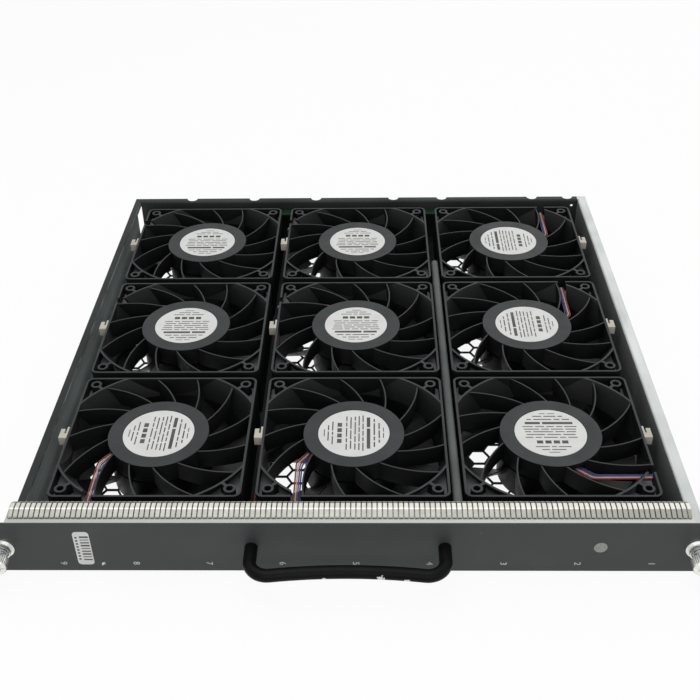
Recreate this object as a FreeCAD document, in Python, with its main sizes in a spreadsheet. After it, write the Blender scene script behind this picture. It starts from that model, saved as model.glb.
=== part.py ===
import FreeCAD
import Part
import math
import os

from FreeCAD import Placement, Rotation, Vector

os.makedirs("parts", exist_ok=True)
doc = FreeCAD.newDocument("fan_tray")

# Driving dimensions in millimetres and degrees
sizes = {
    "fan_side": 120, "fan_depth": 38, "fan_corner": 5, "fan_wall": 1.5,
    "bore_r": 58.2, "flare_r": 66, "flare_depth": 14,
    "base_r": 33, "base_depth": 13.5, "base_wall": 2, "label_r": 23.4,
    "vane_count": 13, "vane_thick": 0.9, "vane_depth": 13.2, "vane_start": 3.5,
    "boss_at": 52.5, "boss_r": 3.8, "boss_bore": 2.2, "hole_r": 1.9, "foot_depth": 5,
    "shelf_r": 62, "shelf_drop": 8, "shelf_thick": 1.5, "screw_head_r": 3.1,
    "tube_r": 7, "tube_bore": 5, "tube_depth": 20,
    "blade_count": 7, "blade_thick": 2.2, "hub_top": 23, "hub_base": 1.2, "hub_wall": 1.8,
    "tip_r": 57.2, "yoke_wall": 3, "shaft_r": 2, "shaft_gap": 0.04,
    "col_pitch": 128.6, "row_pitch": 126, "grid_x": 2.8, "grid_y": 13,
    "metal": 1.2, "half_width": 200, "left_flange": 4, "right_flange": 6.5, "wall_top": 40, "bend": 1.8,
    "side_foot": 8, "rear_gap": 12, "rear_foot": 5, "rear_flange": 5, "notch_r": 4.6,
    "cell_pitch": 13, "cell_web": 1.2,
    "panel_half": 219, "panel_low": 1.2, "panel_high": 41.2, "panel_lead": 25,
    "return_half": 204, "return_depth": 18.5, "lower_return": 12,
    "screw_x": 208, "mid_z": 21.6,
    "finger_pitch": 3.15, "finger_count": 128, "finger_slot": 0.55,
    "handle_half": 58, "handle_r": 4, "handle_reach": 22.5, "handle_corner": 11, "handle_bow": 3,
    "lens_x": 150.8, "lens_r": 4,
    "lead_r": 0.5, "lead_pitch": 1.2, "strip_rear": 107,
}
sheet = doc.addObject("Spreadsheet::Sheet", "sizes")
for row, (alias, value) in enumerate(sizes.items(), start=1):
    sheet.set("A%d" % row, alias)
    sheet.set("B%d" % row, str(value))
    sheet.setAlias("B%d" % row, alias)
doc.recompute()


def size(alias):
    return float(sheet.get(alias))


half_fan = size("fan_side") / 2
grid_x = size("grid_x")
grid_y = size("grid_y")
fan_front = grid_y - size("row_pitch") - half_fan
fan_rear = grid_y + size("row_pitch") + half_fan
panel_face = fan_front - size("panel_lead")
panel_back = panel_face + size("metal")
rear_face = fan_rear + size("rear_gap")
floor_top = size("metal")
fan_top = floor_top + size("fan_depth")
inner_half = size("half_width") - size("metal")
sub_parts = []


# Shared helpers
def bind(item, **links):
    for name, formula in links.items():
        item.setExpression(name, formula)


def polar(radius, angle):
    return radius * math.cos(math.radians(angle)), radius * math.sin(math.radians(angle))


def rounded(points):
    flat = [Vector(p[0], p[1], 0) for p in points]
    starts = []
    ends = []
    arcs = []
    for index, point in enumerate(points):
        here = flat[index]
        back = (flat[index - 1] - here).normalize()
        ahead = (flat[(index + 1) % len(flat)] - here).normalize()
        radius = point[2] if len(point) > 2 else 0
        if radius == 0:
            starts.append(here)
            ends.append(here)
            continue
        turn = back.getAngle(ahead)
        reach = radius / math.tan(turn / 2)
        centre = here + (back + ahead).normalize() * (radius / math.sin(turn / 2))
        first = here + back * reach
        last = here + ahead * reach
        middle = centre + (here - centre).normalize() * radius
        arcs.append(Part.Arc(first, middle, last))
        starts.append(first)
        ends.append(last)
    lines = []
    for index in range(len(flat)):
        goal = starts[(index + 1) % len(flat)]
        if ends[index].distanceToPoint(goal) > 1e-6:
            lines.append(Part.LineSegment(ends[index], goal))
    return lines + arcs


def block(left, low, right, high, radius=0):
    return rounded([(left, low, radius), (right, low, radius), (right, high, radius), (left, high, radius)])


def ring(radius, centre=(0, 0)):
    return [Part.Circle(Vector(centre[0], centre[1], 0), Vector(0, 0, 1), radius)]


def new_body(name):
    return doc.addObject("PartDesign::Body", name)


def sketch(body, plane, geometry, offset="0"):
    drawing = body.newObject("Sketcher::SketchObject", body.Name + "_sketch")
    base = [f for f in body.Origin.OriginFeatures if f.Role == plane + "_Plane"][0]
    drawing.AttachmentSupport = (base, [""])
    drawing.MapMode = "FlatFace"
    drawing.addGeometry(geometry, False)
    bind(drawing, **{".AttachmentOffset.Base.z": offset})
    return drawing


def feature(body, kind, drawing, length=None, down=False, through=False):
    step = body.newObject("PartDesign::" + kind, body.Name + "_" + kind.lower())
    step.Profile = drawing
    if through:
        step.Type = 1
        step.Midplane = True
    if length:
        bind(step, Length=length)
    if kind in ("Revolution", "Groove"):
        step.ReferenceAxis = (drawing, ["V_Axis"])
        step.Angle = 360
    step.Reversed = down
    return step


def pattern(body, steps, drawing, count):
    around = body.newObject("PartDesign::PolarPattern", body.Name + "_round")
    around.Originals = steps
    around.Axis = (drawing, ["N_Axis"])
    around.Angle = 360
    bind(around, Occurrences=count)
    body.Tip = around
    return around


def keep(item, label):
    item.Label = label
    sub_parts.append(item)
    return item


def copies(master, places, prefix):
    made = []
    for index, place in enumerate(places):
        link = doc.addObject("App::Link", prefix + "_%d" % (index + 1))
        link.LinkedObject = master
        link.Placement = place
        made.append(link)
    return made


def group(label, links):
    cluster = doc.addObject("Part::Compound", label)
    cluster.Links = links
    return keep(cluster, label)


def shaped(label, shape):
    item = doc.addObject("Part::Feature", label)
    item.Shape = shape
    return keep(item, label)


def tube(points, radius, bends):
    corners = [Vector(*p) for p in points]
    edges = []
    start = corners[0]
    for index in range(1, len(corners) - 1):
        bend = bends[index - 1]
        here = corners[index]
        back = (corners[index - 1] - here).normalize()
        ahead = (corners[index + 1] - here).normalize()
        turn = back.getAngle(ahead)
        reach = bend / math.tan(turn / 2)
        centre = here + (back + ahead).normalize() * (bend / math.sin(turn / 2))
        middle = centre + (here - centre).normalize() * bend
        first = here + back * reach
        last = here + ahead * reach
        edges.append(Part.LineSegment(start, first).toShape())
        edges.append(Part.Arc(first, middle, last).toShape())
        start = last
    edges.append(Part.LineSegment(start, corners[-1]).toShape())
    path = Part.Wire(edges)
    along = (corners[1] - corners[0]).normalize()
    profile = Part.Wire(Part.Circle(corners[0], along, radius).toShape())
    return path.makePipeShell([profile], True, True)


# Fan housing with guide vanes, motor base and bearing tube, as one moulding
def vane_outline():
    half = size("vane_thick") / 2
    run = [Vector(*polar(31.6, -2.2), 0), Vector(*polar(49, 13), 0), Vector(*polar(68.5, 26.2), 0)]
    spine = Part.Arc(*run)
    sides = []
    for sign in (half, -half):
        side = []
        for point in run:
            across = spine.tangent(spine.parameter(point))[0].cross(Vector(0, 0, 1))
            side.append(point + across * sign)
        sides.append(side)
    near, far = sides
    outline = [Part.Arc(*near), Part.LineSegment(near[2], far[2]),
               Part.Arc(*far), Part.LineSegment(far[0], near[0])]
    for curve in outline:
        curve.rotate(Placement(Vector(), Rotation(size("vane_start"), 0, 0)))
    return outline


def corner_web(radius, reach, edge):
    side = math.sqrt(radius ** 2 - reach ** 2)
    outline = [Vector(reach, side, 0), Vector(edge, side, 0), Vector(edge, edge - 4, 0), Vector(edge - 4, edge, 0),
               Vector(side, edge, 0), Vector(side, reach, 0)]
    web = [Part.LineSegment(here, ahead) for here, ahead in zip(outline, outline[1:])]
    web.append(Part.Arc(outline[-1], Vector(*polar(radius, 45), 0), outline[0]))
    return web


def fan_frame():
    body = new_body("frame_master")
    depth = size("fan_depth")
    bore = size("bore_r")
    flare = size("flare_r")
    wall = size("fan_wall")
    low = depth - size("flare_depth")

    base = sketch(body, "XY", ring(size("base_r")), "sizes.fan_depth - sizes.base_depth")
    feature(body, "Pad", base, "sizes.base_depth")
    hollow = sketch(body, "XY", ring(size("base_r") - size("base_wall")), "sizes.fan_depth - sizes.base_depth")
    feature(body, "Pocket", hollow, "sizes.base_depth - 3", down=True)
    recess = sketch(body, "XY", ring(size("label_r") + 0.4), "sizes.fan_depth")
    feature(body, "Pocket", recess, "0.4")
    sleeve = sketch(body, "XY", ring(size("tube_r")) + ring(size("tube_bore")), "sizes.fan_depth - 2")
    feature(body, "Pad", sleeve, "sizes.tube_depth + 8", down=True)

    vane = sketch(body, "XY", vane_outline(), "sizes.fan_depth - 0.6")
    blade = feature(body, "Pad", vane, "sizes.vane_depth", down=True)
    pattern(body, [blade], vane, "sizes.vane_count")

    shell = [(bore, 2), (bore + 2.2, 0), (bore + wall + 2, 0), (bore + wall, 2.5), (bore + wall, low),
             (flare + wall, depth), (flare, depth), (bore, low)]
    feature(body, "Revolution", sketch(body, "XZ", rounded(shell)))
    outside = [(flare + wall, depth + 1), (100, depth + 1), (100, 2.5), (bore + wall, 2.5),
               (bore + wall, low), (flare + wall, depth)]
    feature(body, "Groove", sketch(body, "XZ", rounded(outside)))
    square = block(-half_fan, -half_fan, half_fan, half_fan, size("fan_corner"))
    trim = sketch(body, "XY", ring(150) + square, "0")
    feature(body, "Pocket", trim, through=True)
    inside = block(wall - half_fan, wall - half_fan, half_fan - wall, half_fan - wall, size("fan_corner") - wall)
    rim = sketch(body, "XY", square + inside, "0")
    feature(body, "Pad", rim, "sizes.fan_depth")

    spot = (size("boss_at"), size("boss_at"))
    edge = half_fan - wall / 2
    foot_sketch = sketch(body, "XY", corner_web(bore + wall / 2, 54, edge), "0")
    foot = feature(body, "Pad", foot_sketch, "sizes.foot_depth")
    shelf_sketch = sketch(body, "XY", corner_web(size("shelf_r"), 58.4, edge), "sizes.fan_depth - sizes.shelf_drop")
    shelf = feature(body, "Pad", shelf_sketch, "sizes.shelf_thick", down=True)
    boss =feature(body, "Pad", sketch(body, "XY", ring(size("boss_r"), spot), "0"), "sizes.fan_depth")
    rib_line = [polar(flare + 0.6, 44), polar(71.5, 44.3), polar(71.5, 45.7), polar(flare + 0.6, 46)]
    rib = feature(body, "Pad", sketch(body, "XY", rounded(rib_line), "0"), "sizes.fan_depth")
    well_sketch = sketch(body, "XY", ring(size("boss_bore"), spot), "sizes.fan_depth")
    well = feature(body, "Pocket", well_sketch, "sizes.fan_depth - sizes.foot_depth")
    hole = feature(body, "Pocket", sketch(body, "XY", ring(size("hole_r"), spot), "0"), through=True)
    pattern(body, [foot, shelf, boss, rib, well, hole], foot_sketch, "4")

    window = [polar(30, -56), polar(34.5, -56), polar(34.5, -71), polar(30, -71)]
    feature(body, "Pocket", sketch(body, "XY", rounded(window), "sizes.fan_depth - 3.6"), "4.6")
    gate = block(48.8, -38, 61, -31.8)
    body.Tip = feature(body, "Pocket", sketch(body, "XY", gate, "sizes.fan_depth"), "sizes.shelf_drop")
    return body


# Impeller with twisted blades round a cup hub
def blade_section(chord_y, low, high, camber, thick):
    front = Vector(-chord_y, low, 0)
    back = Vector(chord_y, high, 0)
    across = (back - front).cross(Vector(0, 0, 1)).normalize()
    blunt = across * 0.4
    middle = (front + back) * 0.5 + across * camber
    upper = Part.Arc(front + blunt, middle + across * (thick / 2), back + blunt)
    lower = Part.Arc(back - blunt, middle - across * (thick / 2), front - blunt)
    return [upper, Part.LineSegment(back + blunt, back - blunt), lower,
            Part.LineSegment(front - blunt, front + blunt)]


def impeller():
    body = new_body("impeller_master")
    top = size("hub_top")
    low = size("hub_base")
    hub = size("base_r")
    wall = size("hub_wall")
    cup = [(0, low), (hub - 3, low), (hub, low + 3), (hub, top), (hub - wall, top),
           (hub - wall, low + 3), (size("shaft_r"), low + 3), (size("shaft_r"), low + 1.6), (0, low + 1.6)]
    cup_sketch = sketch(body, "XZ", rounded(cup))
    feature(body, "Revolution", cup_sketch)
    thick = size("blade_thick")
    root = sketch(body, "YZ", blade_section(10.2, low + 1, top - 0.6, 2.2, thick + 0.6), "sizes.base_r - 2.6")
    tip = sketch(body, "YZ", blade_section(18, low + 2.6, top - 1.8, 2.6, thick), "sizes.tip_r + 2")
    blade = body.newObject("PartDesign::AdditiveLoft", "impeller_blade")
    blade.Profile = root
    blade.Sections = [tip]
    blade.Ruled = True
    axis_sketch = sketch(body, "XY", ring(1), "0")
    pattern(body, [blade], axis_sketch, "sizes.blade_count")
    hollow = [(0, low + 3), (hub - wall, low + 3), (hub - wall, top + 1), (0, top + 1)]
    feature(body, "Groove", sketch(body, "XZ", rounded(hollow)))
    between = (180 / size("blade_count"), 180)
    tips = ring(90)
    for start, stop in (between, (180, 360 + between[0])):
        ends = [Vector(*polar(size("tip_r"), angle), 0) for angle in (start, (start + stop) / 2, stop)]
        tips.append(Part.Arc(*ends))
    body.Tip = feature(body, "Pocket", sketch(body, "XY", tips), through=True)
    return body


# Rotor yoke, a steel cup with the shaft in it
def yoke():
    body = new_body("yoke_master")
    floor = size("hub_base") + 3
    outer = size("base_r") - size("hub_wall")
    shaft = size("shaft_r")
    outline = [(0, floor - 1.4), (shaft, floor - 1.4), (shaft, floor), (outer, floor), (outer, size("hub_top") - 1),
               (outer - size("yoke_wall"), size("hub_top") - 1), (outer - size("yoke_wall"), floor + 1.2),
               (shaft, floor + 1.2), (shaft, 34), (0, 34)]
    body.Tip = feature(body, "Revolution", sketch(body, "XZ", rounded(outline)))
    return body


# Motor stator with four wound poles, and its drive board
def stator():
    body = new_body("stator_master")
    reach = size("base_r") - size("hub_wall") - size("yoke_wall") - 1.2
    core = sketch(body, "XY", ring(10) + ring(size("tube_r")), "8")
    feature(body, "Pad", core, "11")
    neck = sketch(body, "XY", block(9, -4.5, reach - 3, 4.5), "8")
    arm = feature(body, "Pad", neck, "11")
    wing = 38
    face = [Part.Arc(Vector(*polar(reach, -wing), 0), Vector(reach, 0, 0), Vector(*polar(reach, wing), 0)),
            Part.LineSegment(Vector(*polar(reach, wing), 0), Vector(*polar(reach - 3.4, wing), 0)),
            Part.Arc(Vector(*polar(reach - 3.4, wing), 0), Vector(reach - 3.4, 0, 0),
                     Vector(*polar(reach - 3.4, -wing), 0)),
            Part.LineSegment(Vector(*polar(reach - 3.4, -wing), 0), Vector(*polar(reach, -wing), 0))]
    shoe = feature(body, "Pad", sketch(body, "XY", face, "9"), "9")
    pattern(body, [arm, shoe], neck, "4")
    return body


def drive_board():
    board = doc.addObject("Part::Cylinder", "board_disc")
    board.Radius = 28
    board.Height = 1.6
    bore = doc.addObject("Part::Cylinder", "board_bore")
    bind(bore, Radius="sizes.tube_r")
    bore.Height = 1.6
    cut = doc.addObject("Part::Cut", "board_master")
    cut.Base = board
    cut.Tool = bore
    cut.Placement = Placement(Vector(0, 0, 33.4), Rotation())
    return cut


def bearing():
    body = new_body("bearing_master")
    inner = size("shaft_r") + size("shaft_gap")
    outline = [(inner, 0), (size("tube_bore"), 0), (size("tube_bore"), 4), (inner, 4)]
    body.Tip = feature(body, "Revolution", sketch(body, "XZ", rounded(outline)))
    return body


def disc(name, radius, height):
    item = doc.addObject("Part::Cylinder", name)
    bind(item, Radius=radius, Height=height)
    return item


# Countersunk screw from below, flush with the floor, that ends in a corner boss
def fan_screw():
    body = new_body("fan_screw_master")
    shank = size("hole_r")
    recess = 0.1
    end = size("metal") + size("foot_depth")
    slope = (size("screw_head_r") - shank) / size("metal")
    outline = [(0, recess), (size("screw_head_r") - slope * recess, recess), (shank, size("metal")), (shank, end),
               (shank - 0.6, end + 1.5), (0, end + 1.5)]
    body.Tip = feature(body, "Revolution", sketch(body, "XZ", rounded(outline)))
    return body


# Fan grid, three columns by three rows from the front left
fan_turns = [-90, -90, 0, 180, 180, 90, 180, 180, 90]
fan_spots = []
for line in range(3):
    for column in range(3):
        fan_spots.append(Vector(grid_x + (column - 1) * size("col_pitch"),
                                grid_y + (line - 1) * size("row_pitch"), floor_top))
fan_places = [Placement(spot, Rotation(turn, 0, 0)) for spot, turn in zip(fan_spots, fan_turns)]
rotor_places = [Placement(spot, Rotation(index * 19, 0, 0)) for index, spot in enumerate(fan_spots)]

for kind, master, places in (("frame", fan_frame(), fan_places), ("impeller", impeller(), rotor_places),
                             ("yoke", yoke(), rotor_places)):
    for index, link in enumerate(copies(master, places, kind)):
        keep(link, "fan_%d_%s" % (index + 1, kind))

group("motor_stators", copies(stator(), fan_places, "stator"))
group("drive_boards", copies(drive_board(), [p.multiply(Placement(Vector(0, 0, 33.4), Rotation()))
                                             for p in fan_places], "drive"))
bearing_places = []
for place in fan_places:
    for height in (10, 28):
        bearing_places.append(place.multiply(Placement(Vector(0, 0, height), Rotation())))
group("shaft_bearings", copies(bearing(), bearing_places, "bearing"))
label_height = size("fan_depth") - 0.4
label_places = [p.multiply(Placement(Vector(0, 0, label_height), Rotation())) for p in fan_places]
group("hub_labels", copies(disc("label_master", "sizes.label_r", "0.3"), label_places, "label"))

screw_places = []
for spot in fan_spots:
    for sign_x in (-1, 1):
        for sign_y in (-1, 1):
            corner = Vector(sign_x * size("boss_at"), sign_y * size("boss_at"), -floor_top)
            screw_places.append(Placement(spot + corner, Rotation()))
group("fan_screws", copies(fan_screw(), screw_places, "fan_screw"))


# Leads, a flat ribbon of four from the drive board through the base wall and the gate, down the housing side
# and up into the plug; the first plug place is where the upper lead of the side run turns up
lead_side = half_fan + 2.2
connector_low = 32.4
lead_colours = ("red", "white", "violet", "blue")
first_stop = {0: -4.9, 180: 1.3, -90: 4.9, 90: -1.3}


def lead_run(number, turn):
    last = len(lead_colours) - 1
    pitch = size("lead_pitch")
    lane = -36.8 + number * pitch
    points = [polar(26.5, -63.5 - 3.5 * (last - number)) + (32.3,), (21 + number, lane, 31), (lead_side, lane, 31.2)]
    bends = [8, 2.2, 2.2, 2.2]
    if abs(turn) == 90:
        low = 18 + pitch * (last - number)
        stop = first_stop[turn] - pitch * number
        points += [(lead_side, lane, low), (lead_side, -lead_side, low), (stop, -lead_side, low),
                   (stop, -lead_side, connector_low)]
        bends.append(2.2)
    else:
        low = 18 + pitch * number
        stop = first_stop[turn] + pitch * (last - number)
        points += [(lead_side, lane, low), (lead_side, stop, low), (lead_side, stop, connector_low)]
    return tube(points, size("lead_r"), bends)


for number, colour in enumerate(lead_colours):
    runs = []
    for place, turn in zip(fan_places, fan_turns):
        run = lead_run(number, turn)
        run.Placement = place.multiply(run.Placement)
        runs.append(run)
    shaped("leads_" + colour, Part.makeCompound(runs))


# Forked plug housings on the housing sides
def connector():
    body = new_body("connector_master")
    outline = [(0, -5.5), (5.2, -5.5), (5.2, 3.6), (2.4, 3.6), (2.4, -0.8), (1.2, -0.8), (1.2, 5.6), (0, 5.6)]
    body.Tip = feature(body, "Pad", sketch(body, "XY", rounded(outline), "%g" % connector_low), "6.2")
    return body


def left_connector(right):
    mirror = doc.addObject("Part::Mirroring", "connector_left")
    mirror.Source = right
    mirror.Normal = Vector(1, 0, 0)
    return mirror


right_plug = connector()
left_plug = left_connector(right_plug)
plug_links = []
for index, spot in enumerate(fan_spots):
    on_right = index % 3 == 2
    shift = Vector(half_fan if on_right else -half_fan, 0, 0)
    plug_links += copies(right_plug if on_right else left_plug, [Placement(spot + shift, Rotation())],
                         "plug_%d" % (index + 1))
group("lead_connectors", plug_links)


# Honeycomb floor
def floor_plate():
    pitch = size("cell_pitch")
    corner_r = (pitch - size("cell_web")) / math.sqrt(3)
    step = pitch * math.sqrt(3) / 2
    first = Vector(grid_x + 85.4, 79 + fan_front, 0)
    left = grid_x - size("half_width")
    right = grid_x + size("half_width")
    rear = rear_face + size("metal")
    outline = Part.makePolygon([Vector(left, panel_back, 0), Vector(right, panel_back, 0), Vector(right, rear, 0),
                                Vector(left, rear, 0), Vector(left, panel_back, 0)])
    wires = [outline]
    for column in range(-30, 12):
        for line in range(-14, 26):
            centre = first + Vector(column * step, (line + (column % 2) / 2) * pitch, 0)
            near = min((spot - centre + Vector(0, 0, -spot.z)).Length for spot in fan_spots)
            if near > size("bore_r") - corner_r:
                continue
            points = [centre + Vector(*polar(corner_r, 60 * turn), 0) for turn in range(7)]
            wires.append(Part.makePolygon(points))
    for place in rivet_places:
        centre = Vector(place.Base.x, place.Base.y, 0)
        wires.append(Part.Wire(Part.Circle(centre, Vector(0, 0, 1), 1.6).toShape()))
    plate = Part.Face(wires, "Part::FaceMakerBullseye").extrude(Vector(0, 0, size("metal")))
    seats = []
    for place in screw_places:
        centre = Vector(place.Base.x, place.Base.y, 0)
        seats.append(Part.makeCone(size("screw_head_r"), size("hole_r"), size("metal"), centre))
    return plate.cut(Part.makeCompound(seats)).Solids[0]


# Rivets that hold the folded feet to the floor
rivet_spots = []
side_x = inner_half - size("side_foot") / 2
for share in range(5):
    y = fan_front + 2 + share * 92
    rivet_spots += [(grid_x - side_x, y), (grid_x + side_x, y)]
for x in (-150, -50, 50, 150):
    rivet_spots.append((grid_x + x, rear_face - size("rear_foot") / 2))
    rivet_spots.append((grid_x + x, panel_face + size("lower_return") - 4))
rivet_places = [Placement(Vector(x, y, 0), Rotation()) for x, y in rivet_spots]


def rivet():
    body = new_body("rivet_master")
    stack = size("metal") * 2
    outline = [(0, 0.1), (1.6, 0.1), (1.6, stack), (2.4, stack), (2.1, stack + 0.7), (1.2, stack + 1.1),
               (0, stack + 1.1)]
    body.Tip = feature(body, "Revolution", sketch(body, "XZ", rounded(outline)))
    return body


group("floor_rivets", copies(rivet(), rivet_places, "rivet"))
shaped("tray_floor", floor_plate())


# Folded side rails with a runner flange outside and a riveted foot inside
def side_rail(name, sign, flange):
    metal = size("metal")
    bend = size("bend")
    wall = size("half_width")
    top = size("wall_top")
    foot = inner_half - size("side_foot")
    rear = rear_face + metal
    points = [(foot, floor_top), (wall, floor_top, bend), (wall, top - metal), (wall + flange, top - metal),
              (wall + flange, top), (wall - metal, top, bend), (wall - metal, floor_top + metal),
              (foot, floor_top + metal)]
    outline = rounded([(grid_x + sign * p[0],) + tuple(p[1:]) for p in points])
    body = new_body(name)
    profile = sketch(body, "XZ", outline, "%g" % -rear)
    feature(body, "Pad", profile, "%g" % (rear - panel_back))
    tail = block(grid_x + sign * inner_half, rear - 0.5, grid_x + sign * (wall + flange), rear + size("rear_flange"))
    feature(body, "Pad", sketch(body, "XY", tail, "sizes.wall_top"), "sizes.metal", down=True)
    near = grid_x + sign * (foot - 1)
    stop = grid_x + sign * inner_half
    ends = block(near, panel_back - 1, stop, panel_face + size("lower_return") + 0.2)
    ends += block(near, rear_face - size("rear_foot") - 0.2, stop, rear + 1)
    feature(body, "Pocket", sketch(body, "XY", ends, "sizes.metal * 3"), "sizes.metal * 2 + 1")
    holes = []
    for x, y in rivet_spots:
        if abs(x - grid_x - sign * side_x) < 0.1:
            holes += ring(1.6, (x, y))
    body.Tip = feature(body, "Pocket", sketch(body, "XY", holes, "sizes.metal * 3"), "sizes.metal * 2")
    return keep(body, name)


left_rail = side_rail("left_rail", -1, size("left_flange"))
side_rail("right_rail", 1, size("right_flange"))
corner_gap = sketch(left_rail, "YZ", block(rear_face - 18, 14.5, rear_face + 3, 36), "%g" % (-size("half_width") - 6))
left_rail.Tip = feature(left_rail, "Pocket", corner_gap, "20", down=True)


# Rear wall with a notched flange and the connector cut-out
def rear_wall():
    metal = size("metal")
    top = size("wall_top")
    near = rear_face - size("rear_foot")
    far = rear_face + metal + size("rear_flange")
    points = [(near, floor_top), (rear_face + metal, floor_top, size("bend")), (rear_face + metal, top - metal),
              (far, top - metal), (far, top), (rear_face, top, size("bend")), (rear_face, floor_top + metal),
              (near, floor_top + metal)]
    body = new_body("rear_wall")
    profile = sketch(body, "YZ", rounded(points), "%g" % (grid_x - inner_half))
    feature(body, "Pad", profile, "%g" % (2 * inner_half))
    notches = []
    for x in (-152, -95, -38.5, 32, 76, 158, 190):
        notches += ring(size("notch_r"), (grid_x + x, far))
    feature(body, "Pocket", sketch(body, "XY", notches, "sizes.wall_top"), "5")
    openings = block(grid_x - 26, 8.9, grid_x + 26, 26.9) + ring(1.2, (grid_x + 194, 34))
    feature(body, "Pocket", sketch(body, "XZ", openings, "%g" % -(rear_face - 1)), "4")
    holes = []
    for x, y in rivet_spots:
        if y > fan_rear:
            holes += ring(1.6, (x, y))
    body.Tip = feature(body, "Pocket", sketch(body, "XY", holes, "sizes.metal * 3"), "sizes.metal * 2")
    return keep(body, "rear_wall")


rear_wall()


# Stiffener between the middle and right columns, a folded strip with a rounded top
def centre_stiffener():
    body = new_body("centre_stiffener")
    left = grid_x + half_fan + 1.4
    right = left + 5.6
    thick = 0.8
    high = fan_top - 0.4
    radius = (right - left) / 2
    outer = rounded([(left, floor_top), (right, floor_top), (right, high, radius - 0.01), (left, high, radius - 0.01)])
    inner = rounded([(left + thick, floor_top - 1), (right - thick, floor_top - 1),
                     (right - thick, high - thick, radius - thick - 0.01),
                     (left + thick, high - thick, radius - thick - 0.01)])
    start = panel_face + size("lower_return") + 0.2
    profile = sketch(body, "XZ", outer, "-sizes.strip_rear")
    feature(body, "Pad", profile, "sizes.strip_rear - (%g)" % start)
    hollow = sketch(body, "XZ", inner, "-sizes.strip_rear - 1")
    body.Tip = feature(body, "Pocket", hollow, "sizes.strip_rear - (%g) + 2" % start, down=True)
    return keep(body, "centre_stiffener")


centre_stiffener()


# Front panel, a channel with a deep upper return for the seal
def front_panel():
    metal = size("metal")
    low = size("panel_low")
    high = size("panel_high")
    body = new_body("front_panel")
    face = sketch(body, "XZ", block(-size("panel_half"), low, size("panel_half"), high, 1.2), "%g" % -panel_back)
    feature(body, "Pad", face, "sizes.metal")
    upper = block(-size("return_half"), panel_back - 0.6, size("return_half"), panel_face + size("return_depth"))
    feature(body, "Pad", sketch(body, "XY", upper, "sizes.panel_high"), "sizes.metal", down=True)
    lower = block(grid_x - inner_half + 1, panel_back - 0.6, grid_x + inner_half - 1, panel_face + size("lower_return"))
    feature(body, "Pad", sketch(body, "XY", lower, "sizes.metal"), "sizes.metal")
    mid = size("mid_z")
    holes = ring(size("lens_r"), (size("lens_x"), mid))
    for sign in (-1, 1):
        holes += ring(4.2, (sign * size("screw_x"), mid))
        holes += ring(2, (sign * size("handle_half"), mid))
    feature(body, "Pocket", sketch(body, "XZ", holes, "%g" % -(panel_face - 1)), "4")
    rivets = []
    for x, y in rivet_spots:
        if y < fan_front:
            rivets += ring(1.6, (x, y))
    body.Tip = feature(body, "Pocket", sketch(body, "XY", rivets, "sizes.metal * 3"), "sizes.metal * 2")
    return keep(body, "front_panel")


front_panel()


# Arched spring-finger seal on the upper return
def finger_seal():
    body = new_body("finger_seal")
    low = size("panel_high")
    outer = [(4.4, 0.5), (4.9, 1), (10.4, 2.9), (14.6, 2.8), (16.6, 1.6), (17.3, 0.35), (18.5, 0.35)]
    inner = [(18.5, 0), (17, 0), (16.25, 1.35), (14.4, 2.45), (10.5, 2.55), (5.1, 0.68), (4.65, 0.25)]
    points = [(panel_face + y, low + z) for y, z in outer + inner]
    profile = sketch(body, "YZ", rounded(points), "%g" % (-size("return_half") + 1.2))
    feature(body, "Pad", profile, "sizes.return_half * 2 - 2.4")
    first = -size("finger_pitch") * (size("finger_count") - 1) / 2
    slot = block(first, panel_face + 3.4, first + size("finger_slot"), panel_face + 16.1)
    slot_sketch = sketch(body, "XY", slot, "sizes.panel_high + 5")
    cut = feature(body, "Pocket", slot_sketch, "4.9")
    row = body.newObject("PartDesign::LinearPattern", "finger_row")
    row.Originals = [cut]
    row.Direction = (slot_sketch, ["H_Axis"])
    bind(row, Length="sizes.finger_pitch * (sizes.finger_count - 1)", Occurrences="sizes.finger_count")
    body.Tip = row
    return keep(body, "finger_seal")


finger_seal()


# Bowed pull handle and the screws that hold it from behind the panel
def handle():
    half = size("handle_half")
    reach = panel_face - size("handle_reach")
    bow = size("handle_bow")
    corner = size("handle_corner")
    body = new_body("pull_handle")
    span = half - corner
    bow_r = (span ** 2 + bow ** 2) / (2 * bow) - corner
    hub = Vector(-span, reach + corner, 0)
    bow_centre = Vector(0, reach + bow - bow_r, 0)
    turn_in = hub + Vector(-corner, 0, 0)
    leave = hub + (bow_centre - hub).normalize() * corner
    middle = hub + (turn_in + leave - hub * 2).normalize() * corner
    left = Vector(-half, panel_face, 0)
    right = Vector(half, panel_face, 0)
    crown = Vector(0, reach + bow, 0)
    mirror = [Vector(-p.x, p.y, 0) for p in (turn_in, middle, leave)]
    edges = [Part.LineSegment(left, turn_in), Part.Arc(turn_in, middle, leave), Part.Arc(leave, crown, mirror[2]),
             Part.Arc(mirror[2], mirror[1], mirror[0]), Part.LineSegment(mirror[0], right)]
    spine = sketch(body, "XY", edges, "sizes.mid_z")
    section = sketch(body, "XZ", ring(size("handle_r"), (-half, size("mid_z"))), "%g" % -panel_face)
    bar = body.newObject("PartDesign::AdditivePipe", "handle_bar")
    bar.Profile = section
    bar.Spine = (spine, ["Edge%d" % (n + 1) for n in range(len(edges))])
    bar.Transition = "Transformed"
    holes = ring(2, (-half, size("mid_z"))) + ring(2, (half, size("mid_z")))
    body.Tip = feature(body, "Pocket", sketch(body, "XZ", holes, "%g" % -panel_face), "9", down=True)
    return keep(body, "pull_handle")


handle()


def handle_screw():
    body = new_body("handle_screw_master")
    metal = size("metal")
    outline = [(0, -8.5), (2, -8.5), (2, metal), (3.6, metal), (3.6, metal + 1.6), (2.6, metal + 2.4), (0, metal + 2.4)]
    body.Tip = feature(body, "Revolution", sketch(body, "XZ", rounded(outline)))
    return body


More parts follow.
